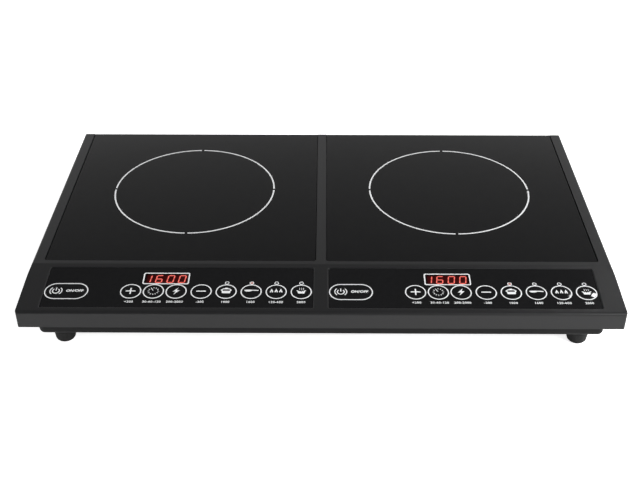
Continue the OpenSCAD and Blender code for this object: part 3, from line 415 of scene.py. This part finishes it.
# %% Dressing the CAD nodes
FINISH_OF_SLOT = {
    "frame_plastic": frame_abs,
    "tray_plastic": tray_abs_painted_shade,
    "foot_rubber": foot_rubber,
    "bushing_rubber": foot_rubber,
    "screw_steel": screw_zinc,
    "black_glass": black_glass,
    "mica": mica,
    "coil_copper": litz_copper,
    "former_plastic": former_resin,
    "ferrite": ferrite,
    "sensor": silicone,
    "circuit_board": solder_mask,
    "sink_aluminium": sink_aluminium,
    "capacitor_film": capacitor_box,
    "choke_wire": choke_wire,
    "fan_plastic": fan_pbt,
    "overlay_gloss": overlay_gloss,
    "window_red": window_filter,
    "display_module": digit_block,
    "switch_plastic": switch_body,
    "lamp_clear": lamp_epoxy,
    "key_gloss": key_gloss,
}
for part in frame["record"]["subparts"]:
    dressed = frame["nodes"][part["node"]]
    dressed.data.materials.clear()
    dressed.data.materials.append(FINISH_OF_SLOT[part["material_slot"]])

# %% [markdown]
# ## Printing ink
# The white lines are screen-printed enamel on the glass and printed film on the control sheet.
# Ink has a thickness, so each print is a thin closed shape a few hundredths of a millimetre
# high. An image laid over the glass would blur in a close view. A filled curve is a better way:
# its outlines are short lists of points, inner loops become holes by themselves, and extruding
# it gives the ink its body. A print on a dome is first cut small, so that it can bend.

# %% Ink
INK_HEIGHT = 0.04

white_ink, tree, shader = new_finish("screen_printed_enamel", "#f1f2f3", 0.45, IOR=1.5)
grain(tree, shader, 0.8, 0.004, "#ebeced", "#f7f8f9", (0.4, 0.5))
print("ink stands", INK_HEIGHT, "mm high")

# %% The printer
BENDING_EDGE = 1.2


def printed(name, loops, place, ink, body, height=INK_HEIGHT, sink=None):
    """Fills flat loops, in millimetres, and makes them a thin solid. place carries them there."""
    drawn = bpy.data.curves.new(name, "CURVE")
    drawn.dimensions = "2D"
    drawn.fill_mode = "BOTH"
    for loop in loops:
        spline = drawn.splines.new("POLY")
        spline.points.add(len(loop) - 1)
        for point, (x, y) in zip(spline.points, loop):
            point.co = (x * MM, y * MM, 0, 1)
        spline.use_cyclic_u = True
    solid_from_curve(name, drawn, place, ink, body, height, sink)


def cut_long_edges(mesh, longest):
    """Cuts a flat print into small triangles, so that it can follow a dome."""
    work = bmesh.new()
    work.from_mesh(mesh)
    bmesh.ops.remove_doubles(work, verts=work.verts[:], dist=0.001 * MM)
    for _ in range(5):
        bmesh.ops.triangulate(work, faces=work.faces[:])
        long_edges = [edge for edge in work.edges if edge.calc_length() > longest * MM]
        if not long_edges:
            break
        bmesh.ops.subdivide_edges(work, edges=long_edges, cuts=1)
    bmesh.ops.triangulate(work, faces=work.faces[:])
    work.to_mesh(mesh)
    work.free()


def solid_from_curve(name, drawn, place, ink, body, height, sink=None):
    """Makes a filled outline or a text a thin solid. sink says how far each point is lowered."""
    drawn.extrude = height * MM / 2
    holder = bpy.data.objects.new(name + "_outline", drawn)
    bpy.context.scene.collection.objects.link(holder)
    bpy.context.view_layer.update()
    depsgraph = bpy.context.evaluated_depsgraph_get()
    mesh = bpy.data.meshes.new_from_object(holder.evaluated_get(depsgraph))
    bpy.data.objects.remove(holder)
    mesh.name = name
    mesh.transform(Matrix.Translation((0, 0, height * MM / 2)))
    if sink:
        cut_long_edges(mesh, BENDING_EDGE)
        for vertex in mesh.vertices:
            vertex.co.z -= sink(vertex.co.x / MM, vertex.co.y / MM) * MM
    mesh.transform(place)
    mesh.materials.clear()
    mesh.materials.append(ink)
    piece = bpy.data.objects.new(name, mesh)
    bpy.context.scene.collection.objects.link(piece)
    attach(piece, body)


print("a print that bends is cut to edges of", BENDING_EDGE, "mm")

# %% [markdown]
# ## Zone rings
# Each plate carries one thin ring that shows where the coil is. The printer leaves it open for a
# few millimetres at the front, the back and both sides, so it is four arcs. A full ring with four
# black patches over it would look the same from afar, but four separate strokes are what the
# screen prints. They lie on the glass over the coil's middle, which the round mica sheet gives.


# %% Zone rings
ROUND_STEPS = 96


def arc(x, y, radius, start, end, steps=ROUND_STEPS):
    """Points along an arc, with angles in degrees."""
    angles = [math.radians(start + (end - start) * i / steps) for i in range(steps + 1)]
    return [(x + radius * math.cos(a), y + radius * math.sin(a)) for a in angles]


def band(x, y, radius, width, start, end):
    """A curved stroke of one width, from one angle to another."""
    return arc(x, y, radius + width / 2, start, end) + arc(x, y, radius - width / 2, end, start)


RING_RADIUS = 91.3
RING_LINE = 1.7
RING_OPENING = 3.2
opening_angle = math.degrees(RING_OPENING / RING_RADIUS)
for side in SIDES:
    low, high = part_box("mica_sheet_" + side)
    middle = (low + high) / 2
    glass_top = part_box("glass_plate_" + side)[1].z
    loops = [
        band(0, 0, RING_RADIUS, RING_LINE, a + opening_angle / 2, a + 90 - opening_angle / 2)
        for a in (0, 90, 180, 270)
    ]
    place = Matrix.Translation((middle.x, middle.y, glass_top))
    printed("zone_ring_" + side, loops, place, white_ink, "housing")
print("ring gap is", round(opening_angle, 2), "degrees")

# %% [markdown]
# ## The sloping strip
# Both control panels lie on a strip that falls gently to the front. Everything printed there is
# easiest to draw flat, so each panel gets a frame of its own: x runs across from the panel's
# middle, y runs up the slope from the sheet's front edge, and z stands on the sheet's face. Such
# a frame is one matrix, which is less work than tilting each print by itself. The slope's angle
# comes from the way in which a key is pressed, which is square to the strip.

# %% Panel frames
press = next(j for j in frame["joints"] if j["name"] == "key_plus_left_press")
slope = math.atan2(press["axis"][1], -press["axis"][2])
strip = {}
for side in SIDES:
    low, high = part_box("control_overlay_" + side)
    run, rise = high.y - low.y, high.z - low.z
    # The sheet's box holds its thickness and its depth, both tilted: this gives the thickness
    thick = (rise * math.cos(slope) - run * math.sin(slope)) / math.cos(2 * slope)
    corner = Vector(((low.x + high.x) / 2, low.y, low.z + thick * math.cos(slope)))
    strip[side] = Matrix.Translation(corner) @ Matrix.Rotation(slope, 4, "X")
print("slope:", round(math.degrees(slope), 2), "degrees; sheet:", round(thick / MM, 2), "mm thick")

# %% [markdown]
# Everything on a panel stands in four rows: labels, keys, lamps and the window, counted up the
# slope from the sheet's front edge. Their places across come from the solid keys and window, so
# a print can't miss its key. Both panels are alike, so the left one is measured for both.


# %% Places on a panel
KEY_ROW = 23.7
LAMP_ROW = 36.6
WINDOW_ROW = 43.2
LABEL_ROW = 8.4
KEYS = ("power", "plus", "timer", "wattage", "minus", "stew", "fry", "warm", "boil")


def across(node, side):
    """How far a node's middle stands from its panel's middle, in millimetres."""
    low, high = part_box(node + "_" + side)
    return ((low.x + high.x) / 2 - strip[side].translation.x) / MM


key_x = {key: across("key_" + key, "left") for key in KEYS}
window_x = across("display_window", "left")
print({key: round(x, 1) for key, x in key_x.items()}, "window", round(window_x, 1))

# %% [markdown]
# ## Rings, oval and window line
# A thin white ring runs round each round key, an oval round the power key, and a line with round
# corners round the display. Above each cooking key a smaller ring, just touching the larger one,
# goes round the lamp. They are printed on the sheet, not on the keys, so they ride on the
# housing. Rings that touch are two separate prints, because a filled outline can't cross itself.


# %% Lines on the sheet
def circle(x, y, radius):
    """A closed ring of points."""
    return arc(x, y, radius, 0, 360)[:-1]


def round_box(x, y, width, height, radius):
    """A rectangle with round corners. With a radius of half its height it is an oval."""
    corners = [(1, 1, 0), (-1, 1, 90), (-1, -1, 180), (1, -1, 270)]
    loop = []
    for sx, sy, start in corners:
        cx = x + sx * (width / 2 - radius)
        cy = y + sy * (height / 2 - radius)
        loop += arc(cx, cy, radius, start, start + 90, ROUND_STEPS // 4)
    return loop


RING = 10.6
LINE = 1.15
OVAL = (44.0, 23.6)
LAMP_RING = 2.25
LAMP_LINE = 0.8
# The window's line, outside and inside: width, height and corner radius
WINDOW_OUTER = (47.2, 17.4, 2.0)
WINDOW_INNER = (44.6, 14.8, 1.2)
COOKING = ("stew", "fry", "warm", "boil")
oval_inner = (OVAL[0] - 2 * LINE, OVAL[1] - 2 * LINE)
for side in SIDES:
    loops = []
    for key in KEYS[1:]:
        loops += [circle(key_x[key], KEY_ROW, RING), circle(key_x[key], KEY_ROW, RING - LINE)]
    for width, height in (OVAL, oval_inner):
        loops.append(round_box(key_x["power"], KEY_ROW, width, height, height / 2))
    printed("key_rings_" + side, loops, strip[side], white_ink, "housing")
    loops = []
    for key in COOKING:
        for radius in (LAMP_RING, LAMP_RING - LAMP_LINE):
            loops.append(circle(key_x[key], LAMP_ROW, radius))
    printed("lamp_rings_" + side, loops, strip[side], white_ink, "housing")
    loops = [round_box(window_x, WINDOW_ROW, *line) for line in (WINDOW_OUTER, WINDOW_INNER)]
    printed("window_line_" + side, loops, strip[side], white_ink, "housing")
print("ring line", LINE, "mm, lamp ring", 2 * LAMP_RING, "mm across")

# %% [markdown]
# ## Figures under the keys
# Under each round key stands a short line of small print. Plain numbers are used: the step in
# watts that plus and minus make, the minutes of the timer, the range of the power, and the power
# of each programme. Drawing them stroke by stroke would take long, and Blender's built-in font is
# a plain sans serif, close to what such panels use. A text object fills its outlines like a
# curve, so the same function turns it into ink. Small print is cut a little bold, because thin
# strokes would fill or vanish on the screen, and the letters' weight does the same here.


# %% Labels
CAPITAL_SHARE = 0.73
LETTER_WEIGHT = 0.025


def lettered(
    name, words, x, y, height, place, ink, body,
    wide=1.0, sink=None, slant=0.0, weight=LETTER_WEIGHT,
):
    """Sets a line of text centred on a point, with capitals of the given height."""
    line = bpy.data.curves.new(name, "FONT")
    line.body = words
    line.size = height / CAPITAL_SHARE * MM
    line.offset = weight * line.size
    line.space_character = wide
    line.align_x = "CENTER"
    line.align_y = "CENTER"
    line.shear = slant
    line.resolution_u = 3
    spot = place @ Matrix.Translation((x * MM, y * MM, 0))
    solid_from_curve(name, line, spot, ink, body, INK_HEIGHT, sink)


LABEL_HEIGHT = 2.9
LABEL_SPACING = 1.12
LABELS = {
    "plus": "+200",
    "timer": "30-60-120",
    "wattage": "200-2000",
    "minus": "-200",
    "stew": "1000",
    "fry": "1600",
    "warm": "120-600",
    "boil": "2000",
}
for side in SIDES:
    for key, words in LABELS.items():
        lettered(
            "label_" + key + "_" + side, words, key_x[key], LABEL_ROW, LABEL_HEIGHT,
            strip[side], white_ink, "housing", LABEL_SPACING,
        )
print(len(LABELS), "labels on each panel")

# %% [markdown]
# ## Pictures on the keys
# Each key carries a small white picture of what it does. A key's top is a low dome, so a flat
# picture would float at its edges. A shrinkwrap modifier could press it on, but the dome is part
# of a ball, so a line of arithmetic says how far to lower each point. The pictures ride on their
# keys and go down with them. Their outlines are drawn in millimetres from the key's middle.

# %% A picture on a domed key
# How high a dome stands over the sheet, a key's radius, and the radius of the ball or roller
# that each dome is a part of
CROWN = 0.5
KEY_RADIUS = 9.3
DOME_RADIUS = 123.7
POWER_DOME_RADIUS = 157.7
POWER_HALF_STRAIGHT = 10.2
PICTURE_HEIGHT = 0.06


def dome_fall(x, y):
    """How far a round key's top lies under its middle."""
    return DOME_RADIUS - math.sqrt(DOME_RADIUS**2 - x * x - y * y)


def power_fall(x, y):
    """The same for the long power key, whose top is a ridge with domed ends."""
    beyond = max(abs(x) - POWER_HALF_STRAIGHT, 0)
    return POWER_DOME_RADIUS - math.sqrt(POWER_DOME_RADIUS**2 - beyond * beyond - y * y)


def key_top(key, side):
    """Where a key's middle stands on its panel, on the crown of its dome."""
    return strip[side] @ Matrix.Translation((key_x[key] * MM, KEY_ROW * MM, CROWN * MM))


def mirrored(half):
    """Closes an outline from its right half, which is listed from bottom to top."""
    return half + [(-x, y) for x, y in reversed(half)]


def moved(loop, x, y):
    """The same outline at another place."""
    return [(px + x, py + y) for px, py in loop]


print("a dome falls", round(dome_fall(KEY_RADIUS, 0), 2), "mm at its edge")

# %% [markdown]
# The four close keys are simple signs: a plus, a dial with twelve marks and a hand, a lightning
# stroke for the power level, and a minus. The plus is one outline and not two crossed bars,
# because a filled outline that crosses another leaves a hole there.


# %% Plus, dial, stroke and minus
def bar(x0, y0, x1, y1, width):
    """A straight stroke with square ends."""
    along = Vector((x1 - x0, y1 - y0)).normalized() * width / 2
    across = (-along.y, along.x)
    return [
        (x0 + across[0], y0 + across[1]),
        (x1 + across[0], y1 + across[1]),
        (x1 - across[0], y1 - across[1]),
        (x0 - across[0], y0 - across[1]),
    ]


STROKE = 1.4
ARM = 4.9
UPRIGHT = 0.92 * ARM
half_stroke = STROKE / 2
plus_sign = mirrored(
    [
        (half_stroke, -UPRIGHT),
        (half_stroke, -half_stroke),
        (ARM, -half_stroke),
        (ARM, half_stroke),
        (half_stroke, half_stroke),
        (half_stroke, UPRIGHT),
    ]
)
minus_sign = bar(-ARM, 0, ARM, 0, STROKE)
lightning = [(1.9, 5.2), (-3.3, -0.7), (-0.3, -0.7), (-2.2, -5.2), (3.5, 1.2), (0.5, 1.2)]
DIAL = 5.6
DIAL_MARK = 1.5
DIAL_STROKE = 0.75
HAND_START = 0.6
HAND_TURN = 120
dial = []
for turn in range(0, 360, 30):
    a = math.radians(turn)
    inner = HAND_START if turn == HAND_TURN else DIAL - DIAL_MARK
    ends = [r * f(a) for r in (inner, DIAL) for f in (math.cos, math.sin)]
    dial.append(bar(*ends, DIAL_STROKE))
print("dial has", len(dial), "strokes")

# %% [markdown]
# The cooking keys show what each programme cooks: a lidded pot for stew, a frying pan, three
# flames for keeping warm, and an open pot with steam. The pots and flames are symmetric, so only
# their right halves are listed. On these keys the picture stands a little above the middle.

# %% Pot, pan, flames and steam
lidded_pot = mirrored(
    [(0.1, -3.9), (3.5, -3.9), (4.2, -3.3), (4.5, -0.2), (5.4, 0.2), (5.4, 1.5), (4.4, 1.9)]
    + [(3.4, 3.1), (1.4, 3.5), (1.2, 4.3), (0.1, 4.3)]
)
pot_slit = round_box(0, 0.7, 7.4, 2.4, 0.9)
frying_pan = [
    (-7.0, 1.2), (-6.8, 0.2), (-5.8, -0.9), (-4.6, -1.3), (-1.6, -1.3), (-0.2, -0.9), (1.0, -0.1),
    (6.9, -0.2), (7.5, 0.5), (6.9, 1.2), (1.2, 1.2), (-1.0, 1.4), (-4.8, 1.5),
]
flame = mirrored(
    [(0.06, -0.4), (0.6, -2.4), (1.3, -2.5), (1.7, -1.5), (1.1, 0.5), (0.5, 1.8), (0.06, 3.1)]
)
flames = [moved(flame, x, 0) for x in (-4.6, 0, 4.6)]
open_pot = mirrored(
    [(0.1, -4.0), (2.7, -4.0), (3.4, -3.2), (3.8, -0.9), (4.8, 0.0), (4.6, 0.7), (3.2, 0.4)]
    + [(2.2, -0.9), (1.1, -0.2), (0.1, -1.4)]
)
STEAM_STROKE = 0.5
steam = []
for x in (-2.0, 0, 2.0):
    steam.append(bar(x, 1.1, x + 0.5, 2.5, STEAM_STROKE))
    steam.append(bar(x + 0.5, 2.8, x, 4.2, STEAM_STROKE))
PICTURE_SHIFT = 1.0
PICTURES = {
    "plus": [plus_sign],
    "timer": dial,
    "wattage": [lightning],
    "minus": [minus_sign],
    "stew": [lidded_pot, pot_slit],
    "fry": [frying_pan],
    "warm": flames,
    "boil": [open_pot] + steam,
}
for side in SIDES:
    for key, loops in PICTURES.items():
        name = "picture_" + key + "_" + side
        body = "key_" + key + "_" + side
        if key in COOKING:
            loops = [moved(loop, 0, PICTURE_SHIFT) for loop in loops]
        top = key_top(key, side)
        printed(name, loops, top, white_ink, body, PICTURE_HEIGHT, dome_fall)
print(len(PICTURES), "pictures on each panel")

# %% [markdown]
# ## The power key
# The long key has the usual power sign, a broken ring with a stroke through the opening, between
# two side arcs, and next to it ON/OFF in slanted capitals. Its top is a ridge with domed ends, so
# it has a fall of its own. The sign is built of the same strokes as the dial, because each part
# of it is a stroke of one width, and then every width can be set by itself.

# %% Power key print
SIGN_X = -10.2
SIGN_STROKE = 1.1
SIDE_ARC = 6.0
SIDE_STROKE = 1.0
sign = [
    band(SIGN_X, -0.3, 3.4, SIGN_STROKE, 130, 410),
    bar(SIGN_X, 0.2, SIGN_X, 4.6, SIGN_STROKE),
    band(SIGN_X, -0.1, SIDE_ARC, SIDE_STROKE, 132, 230),
    band(SIGN_X, -0.1, SIDE_ARC, SIDE_STROKE, -50, 48),
]
WORDS_X = 8.3
WORDS_HEIGHT = 3.3
WORDS_SPACING = 1.06
WORDS_SLANT = 0.2
WORDS_WEIGHT = 0.04


def words_fall(x, y):
    """The power key's fall, seen from the middle of its words."""
    return power_fall(x + WORDS_X, y)


for side in SIDES:
    body = "key_power_" + side
    top = key_top("power", side)
    printed(
        "picture_power_" + side, sign, top, white_ink, body, PICTURE_HEIGHT, power_fall
    )
    lettered(
        "words_power_" + side, "ON/OFF", WORDS_X, 0, WORDS_HEIGHT, top, white_ink,
        body, WORDS_SPACING, words_fall, WORDS_SLANT, WORDS_WEIGHT,
    )
print("power sign stands", -SIGN_X, "mm left of the key's middle")

# %% [markdown]
# ## Lit figures
# The displays are red light-emitting digit blocks behind a smoked red window. The segments stand
# on the block's face, under the window, so the window's colour and gloss lie over them as they
# do on the real display. A faint red ground shows how the block scatters light round them. Small
# lamps behind open slits would be truer, but they take long to render clean, and a surface with
# light of its own looks the same.


# %% Red light
def lamp_light(name, colour, power):
    """A moulded surface that gives light of its own."""
    made, tree, shader = new_finish(name, colour, 0.4, IOR=1.5)
    shader.inputs["Emission Color"].default_value = hex_colour(colour)
    shader.inputs["Emission Strength"].default_value = power
    grain(tree, shader, 0.8, 0.002, colour, colour, (0.35, 0.45))
    return made


segment_red = lamp_light("red_light_segments", "#ff766a", 2.1)
ground_red = lamp_light("red_light_scatter", "#5a0203", 0.4)
lit_lamp_pink = lamp_light("lit_lamp_epoxy", "#96665e", 0.6)
print("lit finishes:", segment_red.name, ground_red.name, lit_lamp_pink.name)

# %% [markdown]
# Each figure is built of seven straight segments with pointed ends that lean to the right. A
# font with such figures would need a file, so each segment is an outline of six points, and a
# short table says which of the seven are lit.

# %% Seven segments
FIGURE_HEIGHT = 11.8
FIGURE_WIDTH = 7.3
SEGMENT = 1.2
SEGMENT_GAP = 0.18
LEAN = math.tan(math.radians(7))
# Segments in the order top, upper right, lower right, bottom, lower left, upper left, middle
LIT = {"0": "1111110", "1": "0110000", "6": "1011111"}


def segment(x0, y0, x1, y1):
    """One straight segment with pointed ends."""
    start, end = Vector((x0, y0)), Vector((x1, y1))
    along = (end - start).normalized()
    side_step = Vector((-along.y, along.x)) * SEGMENT / 2
    tip = along * SEGMENT / 2
    start, end = start + along * SEGMENT_GAP, end - along * SEGMENT_GAP
    outline = [start, start + tip + side_step, end - tip + side_step, end, end - tip - side_step]
    return [tuple(p) for p in outline + [start + tip - side_step]]


def figure(digit, x):
    """The lit segments of one digit whose middle stands at x, leaning to the right."""
    w = (FIGURE_WIDTH - SEGMENT) / 2
    h = (FIGURE_HEIGHT - SEGMENT) / 2
    corners = [(-w, h), (w, h), (w, 0), (w, -h), (-w, -h), (-w, 0)]
    ends = [start + end for start, end in zip(corners, corners[1:] + corners[:1])]
    ends.append((-w, 0, w, 0))
    loops = [segment(*e) for e, on in zip(ends, LIT[digit]) if on == "1"]
    return [[(px + x + py * LEAN, py) for px, py in loop] for loop in loops]


print("a figure is", FIGURE_WIDTH, "by", FIGURE_HEIGHT, "mm")

# %% [markdown]
# Both displays show a power of 1600 watts. How deep the block's face lies is measured from its
# solid, in the panel's own frame, because a box along the world's axes doesn't fit a tilted
# face. The ground is laid first and the figures stand just above it, so that they never share a
# face with it.

# %% Figures in the windows
SHOWN = "1600"
FIGURE_PLACES = (-18.9, -7.4, 4.3, 16.0)
FIGURE_SHIFT = 0.5
FIGURE_LIFT = 0.06
FIGURE_THICKNESS = 0.08
GROUND = round_box(0.6, 0, 41.0, 14.2, 0.6)
GROUND_THICKNESS = 0.05
for side in SIDES:
    inverse = strip[side].inverted()
    block = frame["nodes"]["digit_display_" + side].data
    face = max((inverse @ v.co).z for v in block.vertices) / MM
    base = strip[side] @ Matrix.Translation((window_x * MM, WINDOW_ROW * MM, face * MM))
    printed(
        "figure_ground_" + side, [GROUND], base, ground_red, "housing", GROUND_THICKNESS
    )
    raised = base @ Matrix.Translation((0, 0, FIGURE_LIFT * MM))
    loops = []
    for digit, x in zip(SHOWN, FIGURE_PLACES):
        loops += [moved(loop, 0, FIGURE_SHIFT) for loop in figure(digit, x)]
    printed(
        "figures_" + side, loops, raised, segment_red, "housing", FIGURE_THICKNESS
    )
print("figures stand", round(-face, 2), "mm under the sheet's face")

# %% [markdown]
# ## Lit lamps
# One programme runs on each zone, so one lamp is lit on each panel: frying at the left, stew at
# the right. A lit lamp is a small dome of clear epoxy that glows through, set just proud of its
# hole. A ball cut off by a modifier would do, but a few rings of points from the rim to the top
# give the flat dome that such lamps have, and a closed mesh with no waste.


# %% Lamp domes
# Rings from the rim up: radius and height
DOME_RINGS = ((1.5, 0.0), (1.45, 0.14), (1.2, 0.28), (0.8, 0.38), (0.4, 0.43))
DOME_TOP = 0.45
DOME_SIDES = 32


def lamp_dome(name, key, side):
    """A low lit dome inside a lamp ring."""
    mesh = bpy.data.meshes.new(name)
    turns = [math.tau * i / DOME_SIDES for i in range(DOME_SIDES)]
    verts = [(r * math.cos(t), r * math.sin(t), z) for r, z in DOME_RINGS for t in turns]
    verts.append((0, 0, DOME_TOP))
    last = (len(DOME_RINGS) - 1) * DOME_SIDES
    faces = []
    for i in range(DOME_SIDES):
        j = (i + 1) % DOME_SIDES
        for ring in range(0, last, DOME_SIDES):
            faces.append((ring + i, ring + j, ring + DOME_SIDES + j, ring + DOME_SIDES + i))
        faces.append((last + i, last + j, len(verts) - 1))
    faces.append(tuple(reversed(range(DOME_SIDES))))
    mesh.from_pydata([(x * MM, y * MM, z * MM) for x, y, z in verts], [], faces)
    mesh.shade_smooth()
    mesh.transform(strip[side] @ Matrix.Translation((key_x[key] * MM, LAMP_ROW * MM, 0)))
    mesh.materials.append(lit_lamp_pink)
    dome = bpy.data.objects.new(name, mesh)
    bpy.context.scene.collection.objects.link(dome)
    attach(dome, "housing")


lamp_dome("lit_lamp_left", "fry", "left")
lamp_dome("lit_lamp_right", "stew", "right")
print("two lamps lit")
